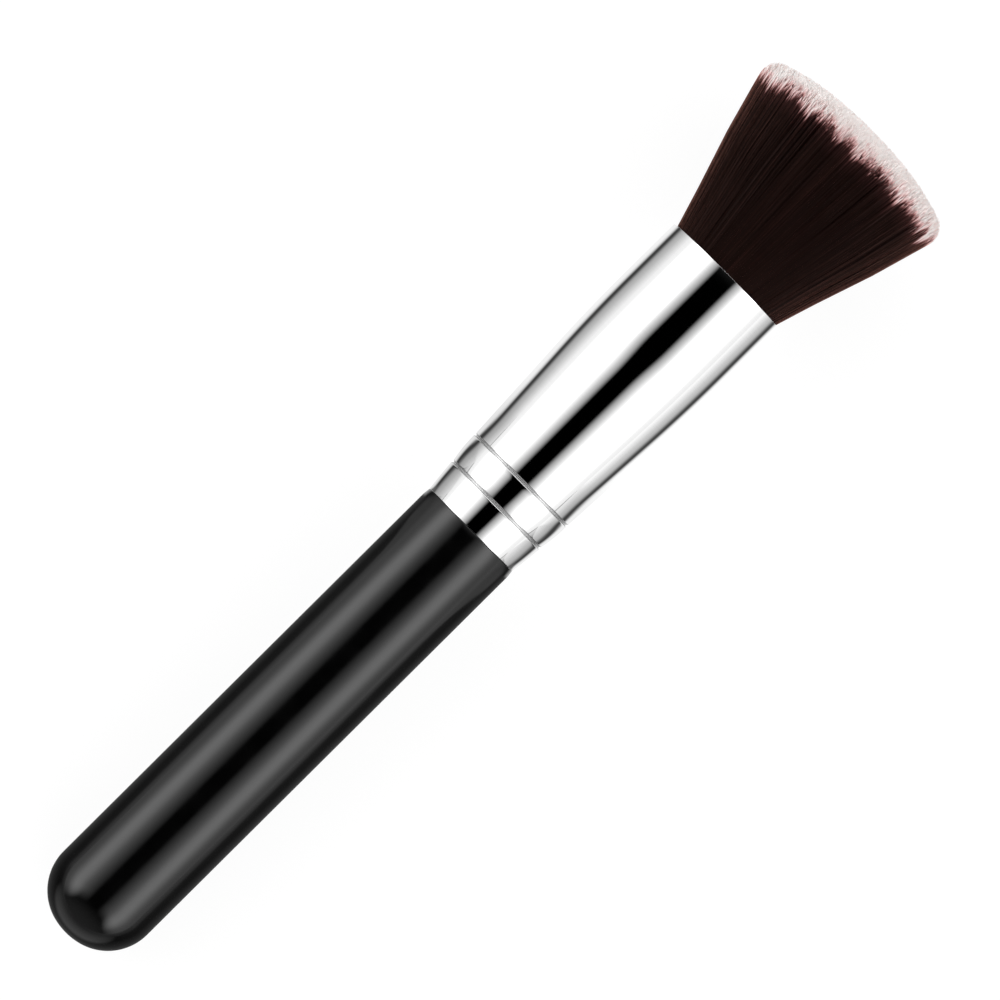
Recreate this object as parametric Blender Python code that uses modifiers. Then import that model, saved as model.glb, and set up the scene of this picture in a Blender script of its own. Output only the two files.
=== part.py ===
"""Flat top makeup brush: a turned wooden handle, a rolled aluminium ferrule and a dense flat head of bristles.

Every piece is drawn standing on the handle's end, with its heights along local +Z.
One empty then lays the brush down along +X, with the widest part of the head on the ground.
"""

import math

import bmesh
import bpy
import numpy as np
from mathutils import Vector

# Running sizes, in metres
CLEARANCE = 0.0003
MERGE_DISTANCE = 0.00001

# Handle
HANDLE_LENGTH = 0.0726
HANDLE_DIAMETER = 0.0151
HANDLE_END_CENTRE_OFFSET = 0.00045
HANDLE_END_FLAT = 0.003
SHOULDER_EASE_LENGTH = 0.0014
SHOULDER_EASE_DROP = 0.0001
TENON_LENGTH = 0.016
TENON_CHAMFER = 0.001

# Ferrule: heights are from its lower edge, and each flare is a growth in diameter
FERRULE_LENGTH = 0.0458
FERRULE_WALL = 0.0004
LOWER_GROOVE_HEIGHT = 0.0045
UPPER_GROOVE_HEIGHT = 0.009
BEND_HEIGHT = 0.03
BEND_LENGTH = 0.006
COLLAR_FLARE = 0.0009
BARREL_FLARE = 0.0008
TUBE_FLARE = 0.00232
MOUTH_NARROWING = 0.00007
BARREL_RISE = 0.00012
COLLAR_RISE = 0.00003
GROOVE_WIDTH = 0.0005
GROOVE_DEPTH = 0.00025
LIP_CHAMFER = 0.0001

# Bristles
BRISTLE_LENGTH = 0.0263
FLARE_ANGLE = math.radians(17.9)
CROWN_RADIUS = 0.051
CROWN_EDGE_RADIUS = 0.003
STRANDS_ACROSS = 20
STRAND_SPACING = 0.00016
STRAND_SETBACK = 0.0002

# Root bundle and the thread round its waist
ROOT_NECK_LENGTH = 0.0032
ROOT_FOOT_LENGTH = 0.0022
WAIST_EASE_LENGTH = 0.0008
TIE_DIAMETER = 0.0005
TIE_PITCH = 0.00095
TIE_TURNS = 4

# Glue
ROOT_GLUE_DEPTH = 0.0045
ROOT_GLUE_DISH = 0.0008
TENON_GLUE_LOWER_INSET = 0.0006
TENON_GLUE_UPPER_INSET = 0.0026
TENON_GLUE_THICKNESS = 0.0005

# Facets: one for every two strands round the rim, so that the lying brush rests alike on each of them
TURN_STEPS = 2 * STRANDS_ACROSS
HIDDEN_TURN_STEPS = 40
END_STEPS = 9
BOW_STEPS = 3
TIE_POINTS_PER_TURN = 24
TIE_BEVEL_RESOLUTION = 1
SHARP_ANGLE = math.radians(35)

# Places along the brush, up from the handle's end
FERRULE_BASE = HANDLE_LENGTH + CLEARANCE
MOUTH_HEIGHT = FERRULE_BASE + FERRULE_LENGTH
BRUSH_LENGTH = MOUTH_HEIGHT + BRISTLE_LENGTH
STRAND_BASE = MOUTH_HEIGHT - STRAND_SETBACK
WAIST_TOP = STRAND_BASE - ROOT_NECK_LENGTH - WAIST_EASE_LENGTH
WAIST_BOTTOM = WAIST_TOP - TIE_TURNS * TIE_PITCH - TIE_DIAMETER - 2 * CLEARANCE
ROOT_BASE = WAIST_BOTTOM - WAIST_EASE_LENGTH - ROOT_FOOT_LENGTH

# Diameters outside the tube, which starts flush with the handle's shoulder
LOWER_EDGE_DIAMETER = HANDLE_DIAMETER - 2 * SHOULDER_EASE_DROP
LOWER_GROOVE_DIAMETER = LOWER_EDGE_DIAMETER + COLLAR_FLARE
UPPER_GROOVE_DIAMETER = LOWER_GROOVE_DIAMETER + BARREL_FLARE
BEND_DIAMETER = UPPER_GROOVE_DIAMETER + TUBE_FLARE
MOUTH_DIAMETER = BEND_DIAMETER - MOUTH_NARROWING

# Radii that follow the tube
MOUTH_INNER_RADIUS = MOUTH_DIAMETER / 2 - FERRULE_WALL
ROOT_RADIUS = MOUTH_INNER_RADIUS - CLEARANCE
WAIST_RADIUS = ROOT_RADIUS - TIE_DIAMETER - CLEARANCE
TENON_GLUE_INNER_RADIUS = LOWER_EDGE_DIAMETER / 2 - FERRULE_WALL - CLEARANCE - TENON_GLUE_THICKNESS
TENON_RADIUS = TENON_GLUE_INNER_RADIUS - CLEARANCE

# Colour, roughness and metallic value of each material
MATERIALS = {
    "black_lacquer": ((0.012, 0.012, 0.013), 0.3, 0.0),
    "polished_aluminium": ((0.86, 0.86, 0.87), 0.12, 1.0),
    "brown_filament": ((0.03, 0.014, 0.011), 0.5, 0.0),
    "cotton_thread": ((0.78, 0.74, 0.66), 0.9, 0.0),
    "cured_epoxy": ((0.62, 0.5, 0.26), 0.25, 0.0),
    "wood_glue": ((0.8, 0.74, 0.58), 0.4, 0.0),
}


def clear_scene():
    """Remove whatever the file holds at the start."""
    for thing in list(bpy.data.objects):
        bpy.data.objects.remove(thing, do_unlink=True)


def make_collection():
    """The collection that holds every piece of the brush."""
    collection = bpy.data.collections.new("flat_top_makeup_brush")
    bpy.context.scene.collection.children.link(collection)
    return collection


def make_material(name):
    """A Principled material from its row in the table."""
    color, roughness, metallic = MATERIALS[name]
    material = bpy.data.materials.new(name)
    material.use_nodes = True
    shader = material.node_tree.nodes["Principled BSDF"]
    shader.inputs["Base Color"].default_value = (*color, 1)
    shader.inputs["Roughness"].default_value = roughness
    shader.inputs["Metallic"].default_value = metallic
    material.diffuse_color = (*color, 1)
    return material


def add_piece(name, data, material, collection, axis):
    """Put one piece of the brush under the empty that carries them all."""
    piece = bpy.data.objects.new(name, data)
    piece.data.materials.append(material)
    piece.parent = axis
    collection.objects.link(piece)
    return piece


def bow(start, end, rise, steps):
    """Points after start and up to end on the arc that stands this far out from their chord."""
    start = Vector(start)
    chord = Vector(end) - start
    middle = start + chord / 2
    radius = (chord.length / 2) ** 2 / (2 * rise) + rise / 2
    outward = Vector((-chord.y, chord.x)).normalized()
    if outward.x < 0:
        outward = -outward
    centre = middle - outward * (radius - rise)
    half_angle = math.asin(chord.length / 2 / radius)
    along = chord.normalized()
    points = []
    for step in range(1, steps + 1):
        angle = half_angle * (2 * step / steps - 1)
        points.append(tuple(centre + radius * (outward * math.cos(angle) + along * math.sin(angle))))
    return points


def turned(name, outline, steps, material, collection, axis, closed=False):
    """A turned piece about local Z. Its outline of (radius, height) runs down its outer side."""
    mesh = bpy.data.meshes.new(name)
    points = [(radius, 0, height) for radius, height in outline]
    edges = [(index, index + 1) for index in range(len(points) - 1)]
    if closed:
        edges.append((len(points) - 1, 0))
    mesh.from_pydata(points, edges, [])
    piece = add_piece(name, mesh, material, collection, axis)
    screw = piece.modifiers.new("Turn", "SCREW")
    screw.angle = math.tau
    screw.steps = steps
    screw.render_steps = steps
    screw.use_merge_vertices = True
    screw.merge_threshold = MERGE_DISTANCE
    apply_modifiers(piece)
    # Half a step of turn puts a facet, and not a corner, at the bottom of the lying brush
    piece.rotation_euler.z = math.pi / steps
    return piece


def apply_modifiers(piece):
    """Give the piece its modified mesh, shaded smooth between its sharp corners."""
    graph = bpy.context.evaluated_depsgraph_get()
    mesh = bpy.data.meshes.new_from_object(piece.evaluated_get(graph))
    mesh.name = piece.name
    piece.modifiers.clear()
    piece.data = mesh
    mesh.shade_smooth()
    mesh.set_sharp_from_angle(angle=SHARP_ANGLE)


def handle_outline():
    """Tenon, eased shoulder, straight grip and rounded end with its small flat."""
    grip_radius = HANDLE_DIAMETER / 2
    tenon_top = HANDLE_LENGTH + TENON_LENGTH
    shoulder_radius = LOWER_EDGE_DIAMETER / 2
    outline = [
        (0, tenon_top),
        (TENON_RADIUS - TENON_CHAMFER, tenon_top),
        (TENON_RADIUS, tenon_top - TENON_CHAMFER),
        (TENON_RADIUS, HANDLE_LENGTH),
        (shoulder_radius, HANDLE_LENGTH),
    ]
    # An arc that meets the grip without a corner stands a quarter of its drop out from its chord
    ease_end = (grip_radius, HANDLE_LENGTH - SHOULDER_EASE_LENGTH)
    outline += bow(outline[-1], ease_end, SHOULDER_EASE_DROP / 4, BOW_STEPS)
    end_radius = grip_radius - HANDLE_END_CENTRE_OFFSET
    last_angle = math.acos((HANDLE_END_FLAT / 2 - HANDLE_END_CENTRE_OFFSET) / end_radius)
    centre_height = end_radius * math.sin(last_angle)
    for step in range(END_STEPS + 1):
        angle = last_angle * step / END_STEPS
        radius = HANDLE_END_CENTRE_OFFSET + end_radius * math.cos(angle)
        outline.append((radius, centre_height - end_radius * math.sin(angle)))
    outline.append((0, 0))
    return outline


def groove_points(diameter, height):
    """The three points of one rolled groove, from its upper edge down."""
    radius = diameter / 2
    return [
        (radius, height + GROOVE_WIDTH / 2),
        (radius - GROOVE_DEPTH, height),
        (radius, height - GROOVE_WIDTH / 2),
    ]


def ferrule_wall_points():
    """Outside of the tube from the mouth down, before its lips are broken. Heights are from its lower edge."""
    upper_groove = groove_points(UPPER_GROOVE_DIAMETER, UPPER_GROOVE_HEIGHT)
    lower_groove = groove_points(LOWER_GROOVE_DIAMETER, LOWER_GROOVE_HEIGHT)
    bend_radius = BEND_DIAMETER / 2
    taper = (bend_radius - UPPER_GROOVE_DIAMETER / 2) / (BEND_HEIGHT - UPPER_GROOVE_HEIGHT)
    bend_drop = taper * BEND_LENGTH / 2
    bend_start = (bend_radius, BEND_HEIGHT + BEND_LENGTH / 2)
    bend_end = (bend_radius - bend_drop, BEND_HEIGHT - BEND_LENGTH / 2)
    # An arc that meets both its neighbours without a corner stands a quarter of the drop out from its chord
    points = [(MOUTH_DIAMETER / 2, FERRULE_LENGTH), bend_start]
    points += bow(bend_start, bend_end, bend_drop / 4, BOW_STEPS)
    points += upper_groove
    points += bow(upper_groove[-1], lower_groove[0], BARREL_RISE, BOW_STEPS)
    points += lower_groove[1:]
    points += bow(lower_groove[-1], (LOWER_EDGE_DIAMETER / 2, 0), COLLAR_RISE, BOW_STEPS)
    return points


def ferrule_inner_radius(height, spare):
    """Radius inside the tube at a height from its lower edge, less a spare amount."""
    upward = ferrule_wall_points()[::-1]
    heights = [point[1] for point in upward]
    radii = [point[0] for point in upward]
    return float(np.interp(height, heights, radii)) - FERRULE_WALL - spare


def ferrule_outline():
    """The closed outline of the tube: down the outside, and up the inside one wall further in."""
    wall = ferrule_wall_points()
    mouth_radius = wall[0][0]
    edge_radius = wall[-1][0]
    outside = [
        (mouth_radius - LIP_CHAMFER, FERRULE_LENGTH),
        (mouth_radius, FERRULE_LENGTH - LIP_CHAMFER),
        *wall[1:-1],
        (edge_radius, LIP_CHAMFER),
        (edge_radius - LIP_CHAMFER, 0),
    ]
    inside = [(radius - FERRULE_WALL, height) for radius, height in reversed(wall)]
    return [(radius, FERRULE_BASE + height) for radius, height in outside + inside]


def tenon_glue_outline():
    """Glue sleeve: its outside is cast against the tube and its inside against the tenon."""
    low = TENON_GLUE_LOWER_INSET
    high = TENON_LENGTH - CLEARANCE - TENON_GLUE_UPPER_INSET
    outer = [(ferrule_inner_radius(high, CLEARANCE), high)]
    for _, height in ferrule_wall_points():
        if low < height < high:
            outer.append((ferrule_inner_radius(height, CLEARANCE), height))
    outer.append((ferrule_inner_radius(low, CLEARANCE), low))
    inner = [(TENON_GLUE_INNER_RADIUS, low), (TENON_GLUE_INNER_RADIUS, high)]
    return [(radius, FERRULE_BASE + height) for radius, height in outer + inner]


def root_glue_outline():
    """Epoxy behind the roots, dished on its lower side where it crept up the tube."""
    top = ROOT_BASE - CLEARANCE
    bottom = top - ROOT_GLUE_DEPTH
    radius_at_top = ferrule_inner_radius(top - FERRULE_BASE, CLEARANCE)
    radius_at_bottom = ferrule_inner_radius(bottom - FERRULE_BASE, CLEARANCE)
    outline = [(0, top), (radius_at_top, top), (radius_at_bottom, bottom)]
    for step in range(1, BOW_STEPS + 1):
        share = 1 - step / BOW_STEPS
        outline.append((radius_at_bottom * share, bottom + ROOT_GLUE_DISH * (1 - share**2)))
    return outline


def leave_height(start_radius, slope, centre_height, centre_radius, radius):
    """Height at which a straight line of this slope leaves a circle of the head's outline.

    Heights are from the strands' base, where the line starts at start_radius.
    """
    offset = start_radius - centre_radius
    squared = 1 + slope**2
    mixed = slope * offset - centre_height
    rest = offset**2 + centre_height**2 - radius**2
    return (-mixed + math.sqrt(mixed**2 - squared * rest)) / squared


def strand_tip(point):
    """Where a strand's corner ends: straight out along the fan, up to the crown or its rounded edge."""
    flare = math.tan(FLARE_ANGLE)
    crown_centre = BRISTLE_LENGTH + STRAND_SETBACK - CROWN_RADIUS
    inset_radius = ROOT_RADIUS - CROWN_EDGE_RADIUS * math.hypot(1, flare)
    edge_height = leave_height(inset_radius, flare, crown_centre, 0, CROWN_RADIUS - CROWN_EDGE_RADIUS)
    edge_radius = inset_radius + flare * edge_height
    edge_reach = edge_radius * CROWN_RADIUS / (CROWN_RADIUS - CROWN_EDGE_RADIUS)

    start_radius = math.hypot(point.x, point.y)
    slope = flare * start_radius / ROOT_RADIUS
    height = leave_height(start_radius, slope, crown_centre, 0, CROWN_RADIUS)
    if start_radius + slope * height > edge_reach:
        height = leave_height(start_radius, slope, edge_height, edge_radius, CROWN_EDGE_RADIUS)
    fan = 1 + flare * height / ROOT_RADIUS
    return Vector((point.x * fan, point.y * fan, STRAND_BASE + height))


def square_to_disc(across, up):
    """Equal area map of the square from -1 to 1 onto the unit disc."""
    if across == 0 and up == 0:
        return 0.0, 0.0
    if abs(across) > abs(up):
        angle = math.pi / 4 * up / across
        return across * math.cos(angle), across * math.sin(angle)
    angle = math.pi / 2 - math.pi / 4 * across / up
    return up * math.cos(angle), up * math.sin(angle)


def root_outline():
    """(radius, height) of the root bundle below the strands, drawn in at the thread."""
    return [
        (ROOT_RADIUS, STRAND_BASE - ROOT_NECK_LENGTH),
        (WAIST_RADIUS, WAIST_TOP),
        (WAIST_RADIUS, WAIST_BOTTOM),
        (ROOT_RADIUS, WAIST_BOTTOM - WAIST_EASE_LENGTH),
        (ROOT_RADIUS, ROOT_BASE),
    ]


def make_bristles(material, collection, axis):
    """Strands that fan out from one block of packed roots. Each stands for a lock of filaments."""
    shape = bmesh.new()
    bmesh.ops.create_grid(shape, x_segments=STRANDS_ACROSS, y_segments=STRANDS_ACROSS, size=1)
    for vertex in shape.verts:
        across, up = square_to_disc(vertex.co.x, vertex.co.y)
        vertex.co = (across * ROOT_RADIUS, up * ROOT_RADIUS, STRAND_BASE)
    cells = list(shape.faces)
    rim = [edge for edge in shape.edges if edge.is_boundary]
    for radius, height in root_outline():
        grown = bmesh.ops.extrude_edge_only(shape, edges=rim)["geom"]
        for vertex in (item for item in grown if isinstance(item, bmesh.types.BMVert)):
            direction = Vector((vertex.co.x, vertex.co.y)).normalized()
            vertex.co = (direction.x * radius, direction.y * radius, height)
        rim = [item for item in grown if isinstance(item, bmesh.types.BMEdge) and item.is_boundary]
    bmesh.ops.edgeloop_fill(shape, edges=rim)
    bmesh.ops.recalc_face_normals(shape, faces=shape.faces)
    bmesh.ops.inset_individual(shape, faces=cells, thickness=STRAND_SPACING / 2)
    strands = bmesh.ops.extrude_discrete_faces(shape, faces=cells)["faces"]
    for strand in strands:
        for vertex in strand.verts:
            vertex.co = strand_tip(vertex.co)
    mesh = bpy.data.meshes.new("bristles")
    shape.to_mesh(mesh)
    shape.free()
    return add_piece("bristles", mesh, material, collection, axis)


def tie_points():
    """Points of the thread's helix round the waist, from its lower end up."""
    radius = WAIST_RADIUS + CLEARANCE + TIE_DIAMETER / 2
    first = WAIST_BOTTOM + CLEARANCE + TIE_DIAMETER / 2
    points = []
    for step in range(TIE_TURNS * TIE_POINTS_PER_TURN + 1):
        turn = step / TIE_POINTS_PER_TURN
        angle = math.tau * turn
        points.append(Vector((radius * math.cos(angle), radius * math.sin(angle), first + TIE_PITCH * turn)))
    return points


def least_gap(points, diameter, skip):
    """Least clear distance of a tube to itself, between points that are at least this many apart."""
    least = math.inf
    for index, point in enumerate(points):
        for other in points[index + skip :]:
            least = min(least, (point - other).length - diameter)
    return least


def make_tie_thread(material, collection, axis):
    """The thread wound round the waist of the roots, as one unbroken tube."""
    points = tie_points()
    gap = least_gap(points, TIE_DIAMETER, TIE_POINTS_PER_TURN // 2)
    print(f"tie_thread: least gap to itself {gap:.5f} m")
    curve = bpy.data.curves.new("tie_thread", "CURVE")
    curve.dimensions = "3D"
    curve.bevel_depth = TIE_DIAMETER / 2
    curve.bevel_resolution = TIE_BEVEL_RESOLUTION
    curve.use_fill_caps = True
    spline = curve.splines.new("POLY")
    spline.points.add(len(points) - 1)
    for spline_point, point in zip(spline.points, points):
        spline_point.co = (*point, 1)
    return add_piece("tie_thread", curve, material, collection, axis)


def lay_down(axis, bristles):
    """Lay the brush along +X, centred on its length, with the head's widest part on the ground."""
    rest_radius = max(vertex.co.x for vertex in bristles.data.vertices)
    axis.rotation_euler.y = math.pi / 2
    axis.location = (-BRUSH_LENGTH / 2, 0, rest_radius)


def main():
    clear_scene()
    collection = make_collection()
    axis = bpy.data.objects.new("brush_axis", None)
    axis.empty_display_size = BRUSH_LENGTH / 4
    collection.objects.link(axis)

    lacquer = make_material("black_lacquer")
    aluminium = make_material("polished_aluminium")
    epoxy = make_material("cured_epoxy")
    wood_glue = make_material("wood_glue")
    turned("handle", handle_outline(), TURN_STEPS, lacquer, collection, axis)
    turned("ferrule", ferrule_outline(), TURN_STEPS, aluminium, collection, axis, closed=True)
    turned("root_glue", root_glue_outline(), HIDDEN_TURN_STEPS, epoxy, collection, axis)
    turned("tenon_glue", tenon_glue_outline(), HIDDEN_TURN_STEPS, wood_glue, collection, axis, closed=True)
    make_tie_thread(make_material("cotton_thread"), collection, axis)
    bristles = make_bristles(make_material("brown_filament"), collection, axis)
    lay_down(axis, bristles)


main()
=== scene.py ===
"""Looks of the flat top makeup brush: lacquered handle, polished ferrule and a head of fine filaments.

Lengths are in metres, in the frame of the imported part: the brush lies along +X and the ground is z = 0.
"""

import math

import bmesh
import bpy
import numpy as np
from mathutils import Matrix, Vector


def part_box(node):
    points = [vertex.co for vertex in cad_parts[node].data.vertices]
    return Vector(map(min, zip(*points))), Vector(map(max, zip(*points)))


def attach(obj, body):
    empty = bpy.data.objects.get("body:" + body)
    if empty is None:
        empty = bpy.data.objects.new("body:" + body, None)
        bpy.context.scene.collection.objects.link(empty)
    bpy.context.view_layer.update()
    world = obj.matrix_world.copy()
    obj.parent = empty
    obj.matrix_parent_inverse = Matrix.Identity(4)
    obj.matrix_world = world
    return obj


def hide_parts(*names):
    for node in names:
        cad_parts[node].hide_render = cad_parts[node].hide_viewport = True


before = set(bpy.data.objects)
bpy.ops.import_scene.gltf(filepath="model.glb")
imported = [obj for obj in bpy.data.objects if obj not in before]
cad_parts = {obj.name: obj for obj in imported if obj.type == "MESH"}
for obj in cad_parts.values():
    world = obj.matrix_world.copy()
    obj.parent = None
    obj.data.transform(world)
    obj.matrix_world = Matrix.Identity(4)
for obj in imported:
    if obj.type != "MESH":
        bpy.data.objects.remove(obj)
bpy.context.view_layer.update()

# Places that come from the frame
handle_low, handle_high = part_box("handle")
ferrule_low, ferrule_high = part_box("ferrule")
bristles_low, bristles_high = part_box("bristles")
END_X = handle_low.x
TENON_TOP_X = handle_high.x
EDGE_X = ferrule_low.x
MOUTH_X = ferrule_high.x
ROOT_X = bristles_low.x
CROWN_X = bristles_high.x
AXIS_Z = bristles_high.z / 2

# How finely the turned pieces are made
TURN_STEPS = 256
BOW_STEPS = 24
DOME_STEPS = 48
CAP_STEPS = 16
GROOVE_STEPS = 16
ROUND_STEPS = 6
CORE_STEPS = 40
MERGE_DISTANCE = 0.000002
SHARP_ANGLE = math.radians(40)

# Handle
GRIP_RADIUS = 0.00755
DOME_CENTRE_RADIUS = 0.00045
DOME_CAP_ANGLE = math.radians(75)
SHOULDER_RADIUS = 0.00745
SHOULDER_EASE_LENGTH = 0.0014
SHOULDER_ROUND = 0.00012
TENON_RADIUS = 0.00595
TENON_CHAMFER = 0.001
SEAM_GAP = 0.00003

# Ferrule: radii are outside the tube, and places along it are from its lower edge
FERRULE_WALL = 0.0004
EDGE_RADIUS = 0.00745
LOWER_GROOVE_RADIUS = 0.0079
LOWER_GROOVE_PLACE = 0.0045
UPPER_GROOVE_RADIUS = 0.0083
UPPER_GROOVE_PLACE = 0.00893
BEND_RADIUS = 0.00946
BEND_PLACE = 0.03
BEND_LENGTH = 0.012
MOUTH_RADIUS = 0.009425
COLLAR_RISE = 0.00003
BARREL_RISE = 0.0001
GROOVE_WIDTH = 0.00056
GROOVE_DEPTH = 0.00025
LIP_ROUND = 0.00002

# Bundle of roots inside the ferrule: places are down from the mouth
BUNDLE_RADIUS = 0.008725
WAIST_RADIUS = 0.007925
BUNDLE_TOP = 0.0002
BUNDLE_STOPS = (
    (0.0034, BUNDLE_RADIUS),
    (0.0042, WAIST_RADIUS),
    (0.0091, WAIST_RADIUS),
    (0.0099, BUNDLE_RADIUS),
)

# Head: how it flares from the ferrule's mouth, and its domed crown with a rounded edge
ROOT_RADIUS = 0.00875
FLARE = 0.335
EASE_FROM = 0.012
EASING = 5.3
CROWN_DROP = 0.00223
CROWN_RIM = 0.0148
CROWN_POWER = 2.6
CROWN_EDGE_RADIUS = 0.0021
CROWN_ROUNDS = 8

# Filaments: they start a little below the mouth
FILAMENT_COUNT = 24000
FILAMENT_PIECES = 5
FILAMENT_START = 0.0004
RANDOM_SEED = 7
START_JITTER = 0.00003
LENGTH_SPREAD = 0.00042
LEAN = 0.012
GOLDEN_TURN = 3 - math.sqrt(5)

# A filament is a tube made of rings of three corners. Dark rings lie at these shares of its height, and
# pale ones at these shares of the way from the change of colour to the tip, with these radii
SIDES = 3
FILAMENT_RADIUS = 0.00005
MIDDLE_RADIUS = 0.00006
TIP_RADIUS = 0.000012
DARK_RINGS = (0.25, 0.6)
PALE_RINGS = ((0.45, 0.0001), (0.75, 0.00008))

# Length of the pale tips, in the middle of the head and at its rim, and what varies it
PALE_LENGTH = 0.0032
PALE_LENGTH_RIM = 0.0023
RIM_POWER = 6
PALE_SWAY = 0.00075
PALE_SPREAD = 0.00022
LEAST_PALE = 0.0004

# Clumps draw their filaments together, and the dark colour reaches farther up in the middle of each
CLUMP_COUNT = 520
CLUMP_JITTER = 0.0003
CLUMP_PULL = 0.14
TUFT_REACH = 0.0018
TUFT_EDGE = 0.38
TUFT_SPREAD = 0.00022

# Map of the filaments: across it are columns of tones, and along it is the place on the filament. The
# change of colour is at its middle, and the pale part fills the rest over its reach
TONES = 32
CORNER_MAP = (0.15, 0.5, 0.85)
MAP_START = 0.02
MIDDLE_MAP = 0.62
MAP_END = 0.98
PALE_REACH = 0.0030

# Shading of the filaments: how far their normals follow the head, and towards the crown at the tips
OUTWARD_SHARE = 0.65
TIP_SHADING_FROM = 0.92
TIP_SHADING_LENGTH = 0.08
TIP_SHADING = 0.35

# Core of packed filaments: this far under the tips and inside the flank, and where its colour changes
CORE_DEPTH = 0.0016
CORE_INSET = 0.0006
CORE_PALE_FROM = 0.0214
CORE_PALE_TO = 0.0222

# Colours along a filament from its root to its tip, and the tones that vary them
FILAMENT_COLORS = (
    (0.0, (0.028, 0.0105, 0.0080)),
    (0.56, (0.028, 0.0105, 0.0080)),
    (0.60, (0.060, 0.022, 0.020)),
    (0.63, (0.13, 0.050, 0.047)),
    (0.67, (0.38, 0.17, 0.165)),
    (0.72, (0.74, 0.46, 0.45)),
    (0.77, (0.90, 0.70, 0.69)),
    (0.83, (0.96, 0.87, 0.85)),
    (0.90, (0.985, 0.95, 0.93)),
    (1.0, (0.99, 0.98, 0.965)),
)
FILAMENT_TONES = ((0.0, 0.28), (0.5, 0.42), (0.9, 0.60), (0.95, 0.75), (1.0, 1.0))
# The tones fade to this share over this much of the map past the change of colour
TONE_FADE = 0.1
PALE_TONE = 0.05
FILAMENT_ROUGHNESS = 0.5
FILAMENT_SPECULAR = 0.04
SHEEN = 1.0
SHEEN_ROUGHNESS = 0.33
SHEEN_TINT = (1.0, 0.45, 0.35, 1)

# Noises: cells to a metre, detail, and how many times as many cells there are along the brush
LACQUER_PATCHES = (260.0, 3.0)
LACQUER_WAVES = (700.0, 2.0)
LATHE_LINES = (60.0, 4.0, 160)
ROOT_STREAKS = (900.0, 3.0, 0.04)
CORE_GRAIN = (8500.0, 2.0, 0.1)
GLUE_CLOUDS = (350.0, 4.0)
# Plies of the thread: scale of the wave that draws them, and how uneven they are
PLY_SCALE = 900.0
PLY_DISTORTION = 1.5

# Heights of the relief that they give
LACQUER_WAVE_HEIGHT = 0.000002
LATHE_LINE_HEIGHT = 0.0000001
ROOT_STREAK_HEIGHT = 0.00003
CORE_GRAIN_HEIGHT = 0.0001
GLUE_CLOUD_HEIGHT = 0.00003
PLY_HEIGHT = 0.00004

# Colours that they give: level of the noise, and the grey level or colour there
LACQUER_COLORS = ((0.3, 0.0006), (0.7, 0.0012))
POLISH_COLORS = ((0.3, 0.925), (0.7, 0.95))
ROOT_COLORS = ((0.35, (0.012, 0.006, 0.005)), (0.7, (0.05, 0.028, 0.02)))
CORE_DARK_COLORS = ((0.3, (0.010, 0.004, 0.003)), (0.7, (0.028, 0.0105, 0.008)))
CORE_PALE_COLORS = ((0.38, (0.80, 0.67, 0.65)), (0.60, (0.99, 0.96, 0.94)))
THREAD_COLORS = ((0.1, (0.62, 0.57, 0.48)), (0.8, (0.86, 0.83, 0.76)))
EPOXY_COLORS = ((0.3, (0.55, 0.42, 0.20)), (0.7, (0.78, 0.68, 0.42)))
WOOD_GLUE_COLORS = ((0.3, (0.80, 0.74, 0.58)), (0.7, (0.90, 0.87, 0.74)))

# Roughness: where one follows a noise, two levels of it and the roughness at each
LACQUER_ROUGHNESS = (0.3, 0.7, 0.10, 0.15)
POLISH_ROUGHNESS = (0.3, 0.7, 0.03, 0.05)
EPOXY_ROUGHNESS = (0.3, 0.7, 0.12, 0.27)
WOOD_GLUE_ROUGHNESS = (0.3, 0.7, 0.45, 0.60)
ROOT_ROUGHNESS = 0.35
CORE_ROUGHNESS = 0.7
THREAD_ROUGHNESS = 0.7

# Grooves of the ferrule: painted shade and dullness start and are full at these distances from a groove's
# middle. The grey colour is painted shade in the grooves, and the roughness is their dullness
PAINTED_SHADE_AND_DULL_BAND = (0.0003, 0.00018)
GROOVE_ROUGHNESS = 0.38
GROOVE_PAINTED_SHADE = 0.6

# Camera: straight above, and turned as the photograph's
CAMERA_LENS = 300.0
CAMERA_SENSOR = 36.0
FRAME_WIDTH = 0.12753
FRAME_CENTRE_X = 0.00565
FRAME_CENTRE_Y = 0.000084
CAMERA_TURN = math.radians(44.81)
CLIP_START = 0.01
CLIP_END = 10

# Floor: it lies a small gap below the brush's two places of rest, which are this far in from the crown's
# rounded edge and from the handle's end
HEAD_REST_INSET = 0.0015
END_REST_INSET = 0.0075
FLOOR_GAP = 0.0002
FLOOR_SIDE = 3.0
FLOOR_ROUGHNESS = 0.9
FLOOR_GLOW = 0.88
# Its shade by the kind of ray: diffuse, mirrored, and from the camera
MIRRORED = 0.5
FLOOR_SHADES = ((0, 0.8), (MIRRORED, 0.01), (1, 0.17))

# Painted reflection: a glow that the floor gives only to mirrored rays, for the metal and the lacquer:
# distance in mm to the side of the brush, and level
MM = 1000.0
TABLE_REACH = 400.0
TABLE_BY_FERRULE = (
    (0, 1.0), (20, 1.0), (24, 0.75), (27, 0.25), (29, 0.045), (33, 0.045), (35, 0.08),
    (38, 0.17), (41, 0.29), (45, 0.40), (51, 0.48), (59, 0.52), (68, 0.56), (82, 0.63),
    (98, 0.69), (130, 0.75), (175, 0.82), (265, 0.88), (400, 0.93),
)
TABLE_BY_HANDLE = (
    (0, 0.17), (20, 0.11), (28, 0.07), (48, 0.11), (60, 0.15), (75, 0.35),
    (100, 0.5), (135, 0.6), (200, 0.68), (300, 0.74), (400, 0.8),
)
# Distance in mm past the handle's end, and level
TABLE_PAST_END = (
    (0, 0.0), (8, 0.0), (16, 0.5), (30, 0.5), (60, 0.38), (120, 0.28), (250, 0.24), (400, 0.24),
)
LEAST_PAST = 1.0
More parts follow.
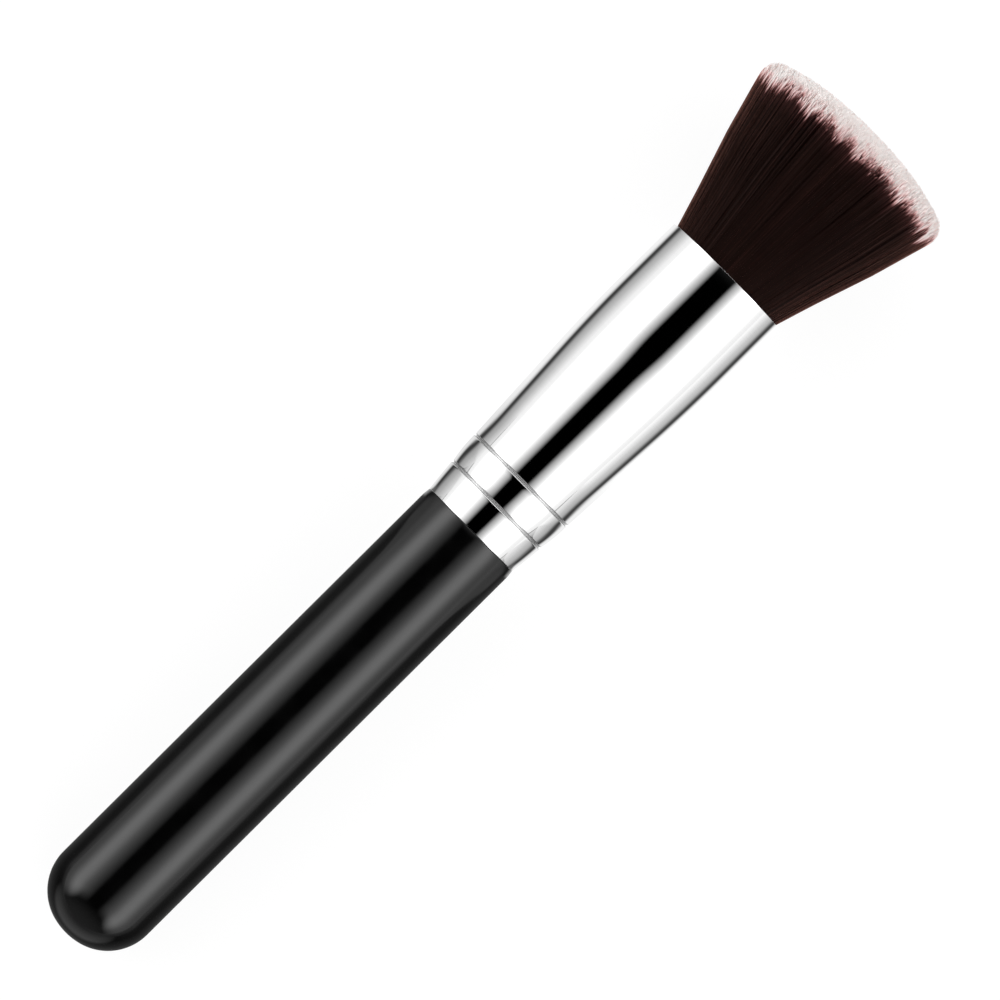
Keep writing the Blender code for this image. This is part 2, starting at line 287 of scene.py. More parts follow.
# The flared ferrule mirrors places farther back the farther they are to its side: by this share of the
# distance, counted from this distance, and only from the fade on
TABLE_SLANT = 0.17
TABLE_SLANT_FROM = 0.0065
# Fades of the table: where each starts and ends, and its value at both, which is 0 and 1 if not given.
# From the handle's table to the ferrule's, along the brush
SEAM_FADE = (-0.0012, 0.0)
SLANT_FADE = (0.020, 0.030)
# How many times nearer its stripes lie beside the collar
COLLAR_NEARING = (0.0, 0.014, 1.5, 1.0)
# It is a little darker on the +Y side, where the ferrule's lower part mirrors it, and by the handle's
# end
SIDE_SHADE = (0.03, -0.03, 0.9, 1.1)
LOWER_SHADE = (0.010, 0.020, 0.86, 1.0)
HANDLE_END_SHADE = (-0.10, -0.05, 0.5, 1.0)
# Past the end, by the distance to the side over the distance past the end
PAST_END_FADE = (0.5, 2.4, 1.0, 0.0)

# Softboxes on both sides: angle in degrees from straight up, and strength
HALF_TURN = 180.0
SOFTBOX_STRENGTH = 3.2
SOFTBOX = (
    (15, 0.0), (16.5, 0.06), (18.7, 0.195), (21.8, 0.40), (25, 0.55), (28.2, 0.72),
    (31.4, 0.93), (38.5, 1.54), (44, 2.3), (48.7, 2.9), (55, 3.2), (60, 3.2),
    (65, 2.7), (70.5, 2.0), (76, 1.35), (82.6, 0.99), (86, 0.95), (90, 0.92),
)
# Fades of the studio: by how many degrees the gap between the softboxes is narrower, along X, and how
# far that counts, by the angle
GAP_NARROWING = (-0.06, 0.003, 2.6, -0.6)
GAP_FADE = (25.0, 45.0, 1.0, 0.0)
# The softboxes' ends, by the direction's part along the brush over its part across, which counts as at
# least this
LEAST_ACROSS = 0.5
SOFTBOX_END_FADE = (0.45, 1.45, 1.0, 0.0)
# Strength beyond the head and beyond the handle's end, along X
BEYOND_HEAD = (0.15, 0.65, 0.0, 1.3)
BEYOND_END = (-0.5, -1.0, 0.0, 0.24)


def arc(centre, radius, first, last, steps):
    """Points (x, radius from the axis) on an arc.

    Angles are from the outward direction towards the handle's end.
    """
    points = []
    for step in range(steps + 1):
        angle = first + (last - first) * step / steps
        points.append((centre[0] - radius * math.sin(angle), centre[1] + radius * math.cos(angle)))
    return points


def bow(start, end, rise):
    """Points after start and up to end, on the arc that stands this far out from their chord.

    The end is nearer to the handle's end than the start is.
    """
    start, end = Vector(start), Vector(end)
    chord = end - start
    radius = (chord.length / 2) ** 2 / (2 * rise) + rise / 2
    outward = Vector((chord.y, -chord.x)).normalized()
    centre = start + chord / 2 - outward * (radius - rise)
    half_angle = math.asin(chord.length / 2 / radius)
    along = chord.normalized()
    points = []
    for step in range(1, BOW_STEPS + 1):
        angle = half_angle * (2 * step / BOW_STEPS - 1)
        points.append(tuple(centre + radius * (outward * math.cos(angle) + along * math.sin(angle))))
    return points


def turned(name, outline, closed=False):
    """A piece turned about the brush's axis from its outline of (x, radius).

    The outline runs from the crown's side towards the handle's end.
    """
    mesh = bpy.data.meshes.new(name)
    points = [(x, 0, radius) for x, radius in outline]
    edges = [(index, index + 1) for index in range(len(points) - 1)]
    if closed:
        edges.append((len(points) - 1, 0))
    mesh.from_pydata(points, edges, [])
    piece = bpy.data.objects.new(name, mesh)
    bpy.context.scene.collection.objects.link(piece)
    screw = piece.modifiers.new("Turn", "SCREW")
    screw.axis = "X"
    screw.angle = math.tau
    screw.steps = TURN_STEPS
    screw.render_steps = TURN_STEPS
    screw.use_merge_vertices = True
    screw.merge_threshold = MERGE_DISTANCE
    graph = bpy.context.evaluated_depsgraph_get()
    made = bpy.data.meshes.new_from_object(piece.evaluated_get(graph))
    made.name = name
    piece.modifiers.clear()
    piece.data = made
    shape = bmesh.new()
    shape.from_mesh(made)
    bmesh.ops.recalc_face_normals(shape, faces=shape.faces)
    shape.to_mesh(made)
    shape.free()
    made.shade_smooth()
    made.set_sharp_from_angle(angle=SHARP_ANGLE)
    piece.location = (0, 0, AXIS_Z)
    return piece


def handle_outline():
    """Tenon, eased shoulder, straight grip and the domed end."""
    shoulder_x = EDGE_X - SEAM_GAP
    outline = [
        (TENON_TOP_X, 0),
        (TENON_TOP_X, TENON_RADIUS - TENON_CHAMFER),
        (TENON_TOP_X - TENON_CHAMFER, TENON_RADIUS),
        (shoulder_x, TENON_RADIUS),
    ]
    round_centre = (shoulder_x - SHOULDER_ROUND, SHOULDER_RADIUS - SHOULDER_ROUND)
    outline += arc(round_centre, SHOULDER_ROUND, -math.pi / 2, 0, ROUND_STEPS)
    # An arc that meets the grip without a corner stands out by a quarter of its fall
    ease_end = (shoulder_x - SHOULDER_EASE_LENGTH, GRIP_RADIUS)
    outline += bow(outline[-1], ease_end, (GRIP_RADIUS - SHOULDER_RADIUS) / 4)
    dome_radius = GRIP_RADIUS - DOME_CENTRE_RADIUS
    cap_start = DOME_CENTRE_RADIUS + dome_radius * math.cos(DOME_CAP_ANGLE)
    cap_radius = cap_start / math.cos(DOME_CAP_ANGLE)
    cap_height = cap_radius * (1 - math.sin(DOME_CAP_ANGLE))
    dome_x = END_X + cap_height + dome_radius * math.sin(DOME_CAP_ANGLE)
    outline += arc((dome_x, DOME_CENTRE_RADIUS), dome_radius, 0, DOME_CAP_ANGLE, DOME_STEPS)
    cap = arc((END_X + cap_radius, 0), cap_radius, DOME_CAP_ANGLE, math.pi / 2, CAP_STEPS)
    outline += cap[1:-1]
    outline.append((END_X, 0))
    return outline


def groove(radius, place):
    """A rolled groove with rounded edges, from its upper side down."""
    points = []
    for step in range(GROOVE_STEPS + 1):
        share = step / GROOVE_STEPS
        depth = GROOVE_DEPTH * (1 - math.cos(math.tau * share)) / 2
        points.append((EDGE_X + place + GROOVE_WIDTH * (0.5 - share), radius - depth))
    return points


def ferrule_wall():
    """Outside of the tube from the mouth down."""
    upper = groove(UPPER_GROOVE_RADIUS, UPPER_GROOVE_PLACE)
    lower = groove(LOWER_GROOVE_RADIUS, LOWER_GROOVE_PLACE)
    taper = (BEND_RADIUS - UPPER_GROOVE_RADIUS) / (BEND_PLACE - UPPER_GROOVE_PLACE)
    bend_start = (EDGE_X + BEND_PLACE + BEND_LENGTH / 2, BEND_RADIUS)
    bend_end = (EDGE_X + BEND_PLACE - BEND_LENGTH / 2, BEND_RADIUS - taper * BEND_LENGTH / 2)
    points = [(MOUTH_X, MOUTH_RADIUS), bend_start]
    # An arc that joins a level line to a slope without a corner stands out by slope times length over 8
    points += bow(bend_start, bend_end, taper * BEND_LENGTH / 8)
    points += upper
    points += bow(upper[-1], lower[0], BARREL_RISE)
    points += lower[1:]
    points += bow(lower[-1], (EDGE_X, EDGE_RADIUS), COLLAR_RISE)
    return points


def ferrule_outline():
    """The closed outline of the tube: down the outside and up the inside, with both lips rounded."""
    wall = ferrule_wall()
    inside = [(x, radius - FERRULE_WALL) for x, radius in reversed(wall)]
    mouth_centre = (MOUTH_X - LIP_ROUND, MOUTH_RADIUS - LIP_ROUND)
    mouth_lip = arc(mouth_centre, LIP_ROUND, -math.pi / 2, 0, ROUND_STEPS)
    edge_centre = (EDGE_X + LIP_ROUND, EDGE_RADIUS - LIP_ROUND)
    edge_lip = arc(edge_centre, LIP_ROUND, 0, math.pi / 2, ROUND_STEPS)
    return mouth_lip + wall[1:-1] + edge_lip + inside


def material(name):
    """A new material and its Principled shader."""
    made = bpy.data.materials.new(name)
    made.use_nodes = True
    return made, made.node_tree.nodes["Principled BSDF"]


def node(made, kind, **values):
    """A new node in a material or world, with its properties and its inputs by name."""
    item = made.node_tree.nodes.new(kind)
    for key, value in values.items():
        if key in item.inputs:
            item.inputs[key].default_value = value
        else:
            setattr(item, key, value)
    return item


def link(made, source, target):
    """Links an output to an input."""
    made.node_tree.links.new(source, target)


def feed(made, value, target):
    """Links an output to an input, or sets the input to a number or colour."""
    if isinstance(value, bpy.types.NodeSocket):
        link(made, value, target)
    else:
        target.default_value = value


def calculate(made, operation, *values):
    """A math node on sockets and numbers."""
    item = node(made, "ShaderNodeMath", operation=operation)
    for index, value in enumerate(values):
        feed(made, value, item.inputs[index])
    return item.outputs[0]


def mix(made, data_type, factor, first, second, blend_type="MIX"):
    """A mix of two numbers or colours: all the first one where the factor is 0."""
    item = node(made, "ShaderNodeMix", data_type=data_type, blend_type=blend_type)
    feed(made, factor, item.inputs["Factor"])
    feed(made, first, item.inputs["A"])
    feed(made, second, item.inputs["B"])
    return item.outputs["Result"]


def ramp(made, source, stops, reach=1.0):
    """A colour ramp over a value from 0 to this reach. A stop is a place and a level or colour."""
    item = node(made, "ShaderNodeValToRGB")
    link(made, calculate(made, "DIVIDE", source, reach), item.inputs["Fac"])
    elements = item.color_ramp.elements
    for index, (place, color) in enumerate(stops):
        element = elements[index] if index < 2 else elements.new(place / reach)
        element.position = place / reach
        element.color = (*color, 1) if isinstance(color, tuple) else (color, color, color, 1)
    return item.outputs["Color"]


def smooth(made, source, start, end, low=0.0, high=1.0):
    """Goes smoothly from low to high as the source goes from start to end."""
    item = node(made, "ShaderNodeMapRange", interpolation_type="SMOOTHSTEP")
    item.inputs["From Min"].default_value = start
    item.inputs["From Max"].default_value = end
    item.inputs["To Min"].default_value = low
    item.inputs["To Max"].default_value = high
    link(made, source, item.inputs["Value"])
    return item.outputs[0]


def coordinates(made, kind, output, **values):
    """The X, Y and Z outputs of the place that a node of this kind gives."""
    place = node(made, kind, **values)
    parts = node(made, "ShaderNodeSeparateXYZ")
    link(made, place.outputs[output], parts.inputs[0])
    return parts.outputs


def noise(made, scale, detail, along=1):
    """Noise in the object's own coordinates, in cells to a metre, with so many times as many along X."""
    place = node(made, "ShaderNodeTexCoord")
    mapping = node(made, "ShaderNodeMapping", Scale=(along, 1, 1))
    link(made, place.outputs["Object"], mapping.inputs["Vector"])
    item = node(made, "ShaderNodeTexNoise", Scale=scale, Detail=detail)
    link(made, mapping.outputs[0], item.inputs["Vector"])
    return item.outputs["Fac"]


def bump(made, shader, source, height):
    """Gives a material a relief of this height."""
    item = node(made, "ShaderNodeBump", Strength=1.0, Distance=height)
    link(made, source, item.inputs["Height"])
    link(made, item.outputs[0], shader.inputs["Normal"])


def lacquer_material():
    """Black lacquer over wood: glossy, with a faint unevenness left by the spray."""
    made, shader = material("black_lacquer")
    patches = noise(made, *LACQUER_PATCHES)
    link(made, ramp(made, patches, LACQUER_COLORS), shader.inputs["Base Color"])
    link(made, smooth(made, patches, *LACQUER_ROUGHNESS), shader.inputs["Roughness"])
    bump(made, shader, noise(made, *LACQUER_WAVES), LACQUER_WAVE_HEIGHT)
    return made


def aluminium_material():
    """Aluminium polished on a lathe: fine lines run round it, and its grooves are rougher and greyed with
    painted shade.
    """
    made, shader = material("polished_aluminium")
    lines = noise(made, *LATHE_LINES)
    x = coordinates(made, "ShaderNodeTexCoord", "Object")["X"]
    distances = []
    for place in (LOWER_GROOVE_PLACE, UPPER_GROOVE_PLACE):
        distances.append(calculate(made, "ABSOLUTE", calculate(made, "SUBTRACT", x, EDGE_X + place)))
    # Painted shade: the grooves' colour is darkened to grey, and they are also made rougher
    painted_shade_and_dullness = smooth(made, calculate(made, "MINIMUM", *distances), *PAINTED_SHADE_AND_DULL_BAND)
    groove_painted_shade_color = (GROOVE_PAINTED_SHADE, GROOVE_PAINTED_SHADE, GROOVE_PAINTED_SHADE, 1)
    color = mix(made, "RGBA", painted_shade_and_dullness, ramp(made, lines, POLISH_COLORS), groove_painted_shade_color)
    link(made, color, shader.inputs["Base Color"])
    shader.inputs["Metallic"].default_value = 1.0
    polish = smooth(made, lines, *POLISH_ROUGHNESS)
    link(made, mix(made, "FLOAT", painted_shade_and_dullness, polish, GROOVE_ROUGHNESS), shader.inputs["Roughness"])
    bump(made, shader, lines, LATHE_LINE_HEIGHT)
    return made


def filament_material():
    """Dark brown filament with a pale rosy tip. The map holds the tone across and the place along."""
    made, shader = material("filament")
    places = coordinates(made, "ShaderNodeUVMap", "UV", uv_map="OFBake")
    colors = ramp(made, places["Y"], FILAMENT_COLORS)
    column = calculate(made, "FLOOR", calculate(made, "MULTIPLY", places["X"], TONES))
    shade = node(made, "ShaderNodeTexWhiteNoise", noise_dimensions="1D")
    link(made, column, shade.inputs["W"])
    tone = ramp(made, shade.outputs["Value"], FILAMENT_TONES)
    toned = smooth(made, places["Y"], MIDDLE_MAP, MIDDLE_MAP + TONE_FADE, 1.0, PALE_TONE)
    color = mix(made, "RGBA", toned, colors, tone, "MULTIPLY")
    link(made, color, shader.inputs["Base Color"])
    shader.inputs["Roughness"].default_value = FILAMENT_ROUGHNESS
    shader.inputs["Specular IOR Level"].default_value = FILAMENT_SPECULAR
    shader.inputs["Sheen Weight"].default_value = SHEEN
    shader.inputs["Sheen Roughness"].default_value = SHEEN_ROUGHNESS
    shader.inputs["Sheen Tint"].default_value = SHEEN_TINT
    return made


def root_material():
    """Packed filaments soaked in glue."""
    made, shader = material("bound_roots")
    streaks = noise(made, *ROOT_STREAKS)
    link(made, ramp(made, streaks, ROOT_COLORS), shader.inputs["Base Color"])
    shader.inputs["Roughness"].default_value = ROOT_ROUGHNESS
    bump(made, shader, streaks, ROOT_STREAK_HEIGHT)
    return made


def core_material():
    """Packed filaments seen between the outer ones: brown, and pale under the tips."""
    made, shader = material("packed_filaments")
    x = coordinates(made, "ShaderNodeTexCoord", "Object")["X"]
    pale = smooth(made, x, MOUTH_X + CORE_PALE_FROM, MOUTH_X + CORE_PALE_TO)
    grain = noise(made, *CORE_GRAIN)
    dark_color = ramp(made, grain, CORE_DARK_COLORS)
    pale_color = ramp(made, grain, CORE_PALE_COLORS)
    link(made, mix(made, "RGBA", pale, dark_color, pale_color), shader.inputs["Base Color"])
    shader.inputs["Roughness"].default_value = CORE_ROUGHNESS
    shader.inputs["Specular IOR Level"].default_value = FILAMENT_SPECULAR
    bump(made, shader, grain, CORE_GRAIN_HEIGHT)
    return made


def thread_material():
    """Waxed cotton thread: two plies twisted together."""
    made, shader = material("cotton_thread")
    place = node(made, "ShaderNodeTexCoord")
    plies = node(made, "ShaderNodeTexWave", bands_direction="DIAGONAL", Scale=PLY_SCALE,
                 Distortion=PLY_DISTORTION)
    link(made, place.outputs["Object"], plies.inputs["Vector"])
    link(made, ramp(made, plies.outputs["Fac"], THREAD_COLORS), shader.inputs["Base Color"])
    shader.inputs["Roughness"].default_value = THREAD_ROUGHNESS
    bump(made, shader, plies.outputs["Fac"], PLY_HEIGHT)
    return made


def glue_material(name, colors, roughness):
    """Cured glue, a little cloudy and uneven."""
    made, shader = material(name)
    clouds = noise(made, *GLUE_CLOUDS)
    link(made, ramp(made, clouds, colors), shader.inputs["Base Color"])
    link(made, smooth(made, clouds, *roughness), shader.inputs["Roughness"])
    bump(made, shader, clouds, GLUE_CLOUD_HEIGHT)
    return made


def fan_out(rise):
    """How many times wider the head is at this height above the mouth than at the mouth."""
    return 1 + (FLARE * rise - EASING * np.maximum(rise - EASE_FROM, 0)**2) / ROOT_RADIUS


def crown_height(radius):
    """Height of the softly domed crown at this distance from the axis."""
    return CROWN_X - MOUTH_X - CROWN_DROP * (radius / CROWN_RIM)**CROWN_POWER


def head_heights(start_radius):
    """Heights above the mouth for filaments that start at these radii.

    The first is that of the crown, and the second that of their own ends. They differ near the rim,
    where the crown's edge is rounded.
    """
    crown = np.full_like(start_radius, CROWN_X - MOUTH_X)
    for _ in range(CROWN_ROUNDS):
        crown = crown_height(start_radius * fan_out(crown))
    depth = (ROOT_RADIUS - start_radius) * fan_out(crown)
    inside = np.clip(CROWN_EDGE_RADIUS - depth, 0, CROWN_EDGE_RADIUS)
    return crown, crown - (CROWN_EDGE_RADIUS - np.sqrt(CROWN_EDGE_RADIUS**2 - inside**2))


def spiral(count, radius, random, jitter):
    """Points spread evenly over a disc, each moved a little."""
    index = np.arange(count) + 0.5
    angle = index * math.pi * GOLDEN_TURN
    out = radius * np.sqrt(index / count)
    points = np.stack([out * np.cos(angle), out * np.sin(angle)], 1)
    return points + random.normal(0, jitter, points.shape)


def grow_filaments():
    """Every filament's points, their normals and their places along the map, and its column of the map.

    Tufts give the change of colour its ragged edge.
    """
    random = np.random.default_rng(RANDOM_SEED)
    start = spiral(FILAMENT_COUNT, ROOT_RADIUS - FILAMENT_RADIUS, random, START_JITTER)
    radius = np.linalg.norm(start, axis=1)
    start *= np.minimum(1, (ROOT_RADIUS - FILAMENT_RADIUS) / radius)[:, None]
    radius = np.linalg.norm(start, axis=1)
    clumps = spiral(CLUMP_COUNT, ROOT_RADIUS, random, CLUMP_JITTER)
    clump_tip = random.normal(0, TUFT_SPREAD, CLUMP_COUNT)
    apart = np.linalg.norm(start[:, None] - clumps[None], axis=2)
    nearest = apart.argmin(1)
    apart = apart.min(1)
    spacing = ROOT_RADIUS * math.sqrt(math.pi / CLUMP_COUNT)
    crown, height = head_heights(radius)
    height = height - np.abs(random.normal(0, LENGTH_SPREAD, FILAMENT_COUNT))
    tuft = TUFT_REACH * (TUFT_EDGE - apart / spacing) + clump_tip[nearest]
    rim = radius / ROOT_RADIUS
    # The change of colour lies a little higher above and below than on both sides
    sway = PALE_SWAY * (start[:, 1]**2 - start[:, 0]**2) / ROOT_RADIUS**2
    pale_length = PALE_LENGTH + (PALE_LENGTH_RIM - sway - PALE_LENGTH) * rim**RIM_POWER
    middle = crown - pale_length + tuft + random.normal(0, PALE_SPREAD, FILAMENT_COUNT)
    middle = np.minimum(middle, height - LEAST_PALE)
    # No filament leans out of the head
    lean = random.normal(0, LEAN, (FILAMENT_COUNT, 2))
    outward = start / radius[:, None]
    lean -= outward * np.maximum((lean * outward).sum(1), 0)[:, None]
    pull = clumps[nearest] - start
    column = random.integers(0, TONES, FILAMENT_COUNT)
    spin = random.uniform(0, math.tau, FILAMENT_COUNT)
    rings = [(np.full(FILAMENT_COUNT, -FILAMENT_START), FILAMENT_RADIUS)]
    rings += [(height * share, FILAMENT_RADIUS) for share in DARK_RINGS]
    rings += [(middle, MIDDLE_RADIUS)]
    rings += [(middle * (1 - share) + height * share, thick) for share, thick in PALE_RINGS]
    rings += [(height, TIP_RADIUS)]
    rim = rim[:, None]
    points = []
    places = []
    normals = []
    for rise, thick in rings:
        above = np.maximum(rise, 0)
        share = above / height
        centre = (start + pull * (CLUMP_PULL * share**2)[:, None]) * fan_out(above)[:, None]
        centre += lean * above[:, None]
        dark = (rise + FILAMENT_START) / (middle + FILAMENT_START) * (MIDDLE_MAP - MAP_START) + MAP_START
        pale = MIDDLE_MAP + np.minimum((rise - middle) / PALE_REACH, 1) * (MAP_END - MIDDLE_MAP)
        place = np.where(rise <= middle, dark, pale)
        # Shading turns a filament's side towards the outside of the head, and its tip more to the crown
        tip = np.clip((share - TIP_SHADING_FROM) / TIP_SHADING_LENGTH, 0, 1) * TIP_SHADING
        tip = tip[:, None]
        sideways = outward * rim * (1 - tip)
        forward = np.maximum(1 - rim, tip)
        for corner in range(SIDES):
            turn = spin + math.tau * corner / SIDES
            facing = np.stack([np.cos(turn), np.sin(turn)], 1)
            points.append(np.column_stack([MOUTH_X + rise, centre + facing * thick]))
            places.append(place)
            across = sideways * OUTWARD_SHARE + facing * (1 - OUTWARD_SHARE)
            normals.append(np.column_stack([forward * OUTWARD_SHARE, across]))
    normals = np.stack(normals, 1)
    normals /= np.linalg.norm(normals, axis=2, keepdims=True)
    return np.stack(points, 1), normals, np.stack(places, 1), column


def filament_faces(count, size):
    """Faces of this many filaments of this many points each: their sides, their roots and their tips."""
    sides = []
    for first in range(0, size - SIDES, SIDES):
        for corner in range(SIDES):
            other = (corner + 1) % SIDES
            sides.append((first + corner, first + other, first + SIDES + other, first + SIDES + corner))
    base = (np.arange(count) * size)[:, None, None]
    quads = (base + np.array(sides)[None]).reshape(-1, 4)
    corners = np.arange(SIDES)
    roots = base[:, 0] + corners[::-1]
    tips = base[:, 0] + corners + size - SIDES
    return quads.tolist() + roots.tolist() + tips.tolist()


def make_filaments(made):
    """The head, in a few pieces: each filament is a tapered three-sided tube."""
    points, normals, places, column = grow_filaments()
    size = points.shape[1]
    corner_map = np.array(CORNER_MAP)
    pieces = []
    for number, chosen in enumerate(np.array_split(np.arange(FILAMENT_COUNT), FILAMENT_PIECES)):
        name = "filaments_%d" % (number + 1)
        mesh = bpy.data.meshes.new(name)
        faces = filament_faces(len(chosen), size)
        mesh.from_pydata(points[chosen].reshape(-1, 3).tolist(), [], faces)
        layer = mesh.uv_layers.new(name="OFBake")
        used = np.zeros(len(mesh.loops), np.int32)
        mesh.loops.foreach_get("vertex_index", used)
        across = (column[chosen][used // size] + corner_map[used % SIDES]) / TONES
        along = places[chosen].ravel()[used]
        layer.data.foreach_set("uv", np.stack([across, along], 1).ravel().astype(np.float32))
        mesh.shade_smooth()
        mesh.normals_split_custom_set_from_vertices(normals[chosen].reshape(-1, 3))
        mesh.materials.append(made)
        piece = bpy.data.objects.new(name, mesh)
        bpy.context.scene.collection.objects.link(piece)
        piece.location = (0, 0, AXIS_Z)
        pieces.append(piece)
    return pieces


def bundle_outline():
    """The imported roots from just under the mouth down, drawn in where the thread ties them."""
    outline = [(MOUTH_X - BUNDLE_TOP, 0), (MOUTH_X - BUNDLE_TOP, BUNDLE_RADIUS)]
    outline += [(MOUTH_X - place, radius) for place, radius in BUNDLE_STOPS]
    outline += [(ROOT_X, BUNDLE_RADIUS), (ROOT_X, 0)]
    return outline


def core_outline():
    """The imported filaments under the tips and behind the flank, from the crown down to the mouth."""
    starts = np.linspace(0, ROOT_RADIUS - CORE_INSET, CORE_STEPS)
    tops = head_heights(starts)[1] - CORE_DEPTH
    flank = np.linspace(tops[-1], 0, CORE_STEPS)[1:]
    outline = list(zip(MOUTH_X + tops, starts * fan_out(tops)))
    outline += list(zip(MOUTH_X + flank, starts[-1] * fan_out(flank)))
    outline += [(MOUTH_X - BUNDLE_TOP / 2, starts[-1]), (MOUTH_X - BUNDLE_TOP / 2, 0)]
    return [(float(x), float(radius)) for x, radius in outline]


def painted_reflection_glow(made):
    """Level of the glow that the floor gives the metal and the lacquer to mirror, at each place of the
    floor.

    It is darker in bands beside the brush. This glow is a painted reflection, seen only in mirrors.
    """
    places = coordinates(made, "ShaderNodeNewGeometry", "Position")
    x = places["X"]
    beside = calculate(made, "ABSOLUTE", places["Y"])
    across = calculate(made, "MULTIPLY", beside, MM)
    back = calculate(made, "SUBTRACT", beside, TABLE_SLANT_FROM)
    back = calculate(made, "MULTIPLY", back, TABLE_SLANT)
    back = calculate(made, "MULTIPLY", back, smooth(made, beside, *SLANT_FADE))
    mirrored_x = calculate(made, "ADD", x, back)
    stripes = calculate(made, "MULTIPLY", across, smooth(made, mirrored_x, *COLLAR_NEARING))
    by_ferrule = ramp(made, stripes, TABLE_BY_FERRULE, TABLE_REACH)
    side_shade = smooth(made, places["Y"], *SIDE_SHADE)
    shade = calculate(made, "MULTIPLY", side_shade, smooth(made, mirrored_x, *LOWER_SHADE))
    by_ferrule = calculate(made, "MULTIPLY", by_ferrule, shade)
    by_handle = ramp(made, across, TABLE_BY_HANDLE, TABLE_REACH)
    by_handle = calculate(made, "MULTIPLY", by_handle, smooth(made, x, *HANDLE_END_SHADE))
    past = calculate(made, "MULTIPLY", calculate(made, "SUBTRACT", END_X, x), MM)
    turned_aside = calculate(made, "DIVIDE", across, calculate(made, "MAXIMUM", past, LEAST_PAST))
    past_end = ramp(made, past, TABLE_PAST_END, TABLE_REACH)
    past_end = calculate(made, "MULTIPLY", past_end, smooth(made, turned_aside, *PAST_END_FADE))
    handle_side = calculate(made, "MAXIMUM", by_handle, past_end)
    return mix(made, "FLOAT", smooth(made, mirrored_x, *SEAM_FADE), handle_side, by_ferrule)


def floor_material():
    """Plain white with the brush's soft shadow for the camera, and a painted reflection for metal and
    lacquer.
    """
    made, shader = material("floor")
    shader.inputs["Roughness"].default_value = FLOOR_ROUGHNESS
    shader.inputs["Specular IOR Level"].default_value = 0.0
    shader.inputs["Emission Color"].default_value = (1, 1, 1, 1)
    path = node(made, "ShaderNodeLightPath")
    camera = path.outputs["Is Camera Ray"]
    glossy = path.outputs["Is Glossy Ray"]
    ray = calculate(made, "MAXIMUM", camera, calculate(made, "MULTIPLY", glossy, MIRRORED))
    link(made, ramp(made, ray, FLOOR_SHADES), shader.inputs["Base Color"])
    # The floor glows this pattern only for mirrored rays: a painted reflection
    mirrored = calculate(made, "MULTIPLY", painted_reflection_glow(made), glossy)
    plain = calculate(made, "MULTIPLY", camera, FLOOR_GLOW)
    link(made, calculate(made, "ADD", mirrored, plain), shader.inputs["Emission Strength"])
    return made


def make_floor():
    """A plane that the lying brush rests on, with the rim of its head and with the handle's end."""
    head_x = CROWN_X - CROWN_EDGE_RADIUS - HEAD_REST_INSET
    end_x = END_X + END_REST_INSET
    mesh = bpy.data.meshes.new("floor")
    half = FLOOR_SIDE / 2
    corners = [(-half, -half, 0), (half, -half, 0), (half, half, 0), (-half, half, 0)]
    mesh.from_pydata(corners, [], [(0, 1, 2, 3)])
    mesh.materials.append(floor_material())
    floor = bpy.data.objects.new("floor", mesh)
    bpy.context.scene.collection.objects.link(floor)
    floor.rotation_euler.y = math.atan2(AXIS_Z - GRIP_RADIUS, head_x - end_x)
    floor.location = (head_x, 0, -FLOOR_GAP)


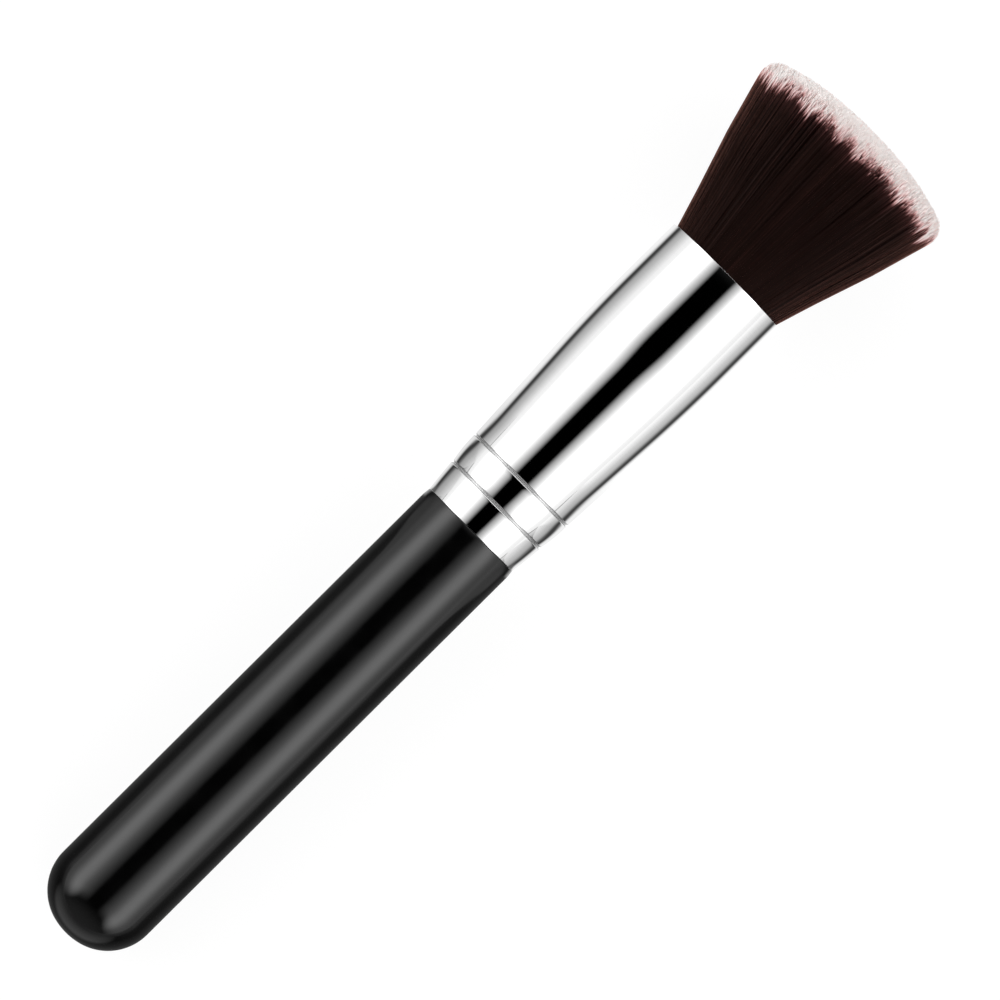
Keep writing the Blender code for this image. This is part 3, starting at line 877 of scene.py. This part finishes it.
def make_world():
    """A studio round the brush: a long softbox on each side, dark above, and pale beyond the head.

    The camera sees plain white.
    """
    world = bpy.data.worlds.new("studio")
    bpy.context.scene.world = world
    world.use_nodes = True
    background = world.node_tree.nodes["Background"]
    directions = coordinates(world, "ShaderNodeTexCoord", "Generated")
    x = directions["X"]
    across = calculate(world, "ABSOLUTE", directions["Y"])
    straight = calculate(world, "DEGREES", calculate(world, "ARCTAN2", across, directions["Z"]))
    # The gap between the softboxes is narrower towards the handle's side
    narrowing = smooth(world, x, *GAP_NARROWING)
    narrowing = calculate(world, "MULTIPLY", narrowing, smooth(world, straight, *GAP_FADE))
    angle = calculate(world, "ADD", straight, narrowing)
    stops = tuple((place, level / SOFTBOX_STRENGTH) for place, level in SOFTBOX)
    box = calculate(world, "MULTIPLY", ramp(world, angle, stops, HALF_TURN), SOFTBOX_STRENGTH)
    along = calculate(world, "ABSOLUTE", x)
    along = calculate(world, "DIVIDE", along, calculate(world, "MAXIMUM", across, LEAST_ACROSS))
    sides = calculate(world, "MULTIPLY", box, smooth(world, along, *SOFTBOX_END_FADE))
    beyond_head = smooth(world, x, *BEYOND_HEAD)
    beyond_end = smooth(world, x, *BEYOND_END)
    ends = calculate(world, "MAXIMUM", beyond_head, beyond_end)
    studio = calculate(world, "MAXIMUM", sides, ends)
    camera = node(world, "ShaderNodeLightPath").outputs["Is Camera Ray"]
    lit = calculate(world, "MULTIPLY", studio, calculate(world, "SUBTRACT", 1.0, camera))
    background.inputs["Color"].default_value = (1, 1, 1, 1)
    link(world, calculate(world, "ADD", lit, camera), background.inputs["Strength"])


def make_camera():
    """A camera straight above, at the photograph's framing."""
    data = bpy.data.cameras.new("camera")
    data.lens = CAMERA_LENS
    data.sensor_width = CAMERA_SENSOR
    data.clip_start = CLIP_START
    data.clip_end = CLIP_END
    camera = bpy.data.objects.new("camera", data)
    bpy.context.scene.collection.objects.link(camera)
    distance = FRAME_WIDTH * CAMERA_LENS / CAMERA_SENSOR
    camera.location = (FRAME_CENTRE_X, FRAME_CENTRE_Y, AXIS_Z + distance)
    camera.rotation_euler.z = -CAMERA_TURN
    bpy.context.scene.camera = camera


handle = turned("lacquered_handle", handle_outline())
handle.data.materials.append(lacquer_material())
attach(handle, "root")
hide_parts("handle")

ferrule = turned("polished_ferrule", ferrule_outline(), closed=True)
ferrule.data.materials.append(aluminium_material())
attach(ferrule, "root")
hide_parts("ferrule")

bundle = turned("bristle_roots", bundle_outline())
bundle.data.materials.append(root_material())
core = turned("bristle_core", core_outline())
core.data.materials.append(core_material())
for piece in [bundle, core, *make_filaments(filament_material())]:
    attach(piece, "root")
    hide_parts("bristles")

hidden_materials = {
    "tie_thread": thread_material(),
    "root_glue": glue_material("cured_epoxy", EPOXY_COLORS, EPOXY_ROUGHNESS),
    "tenon_glue": glue_material("wood_glue", WOOD_GLUE_COLORS, WOOD_GLUE_ROUGHNESS),
}
for name, made in hidden_materials.items():
    for material_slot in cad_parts[name].material_slots:
        material_slot.material = made

make_floor()
make_world()
make_camera()
bpy.context.scene.view_settings.view_transform = "Standard"
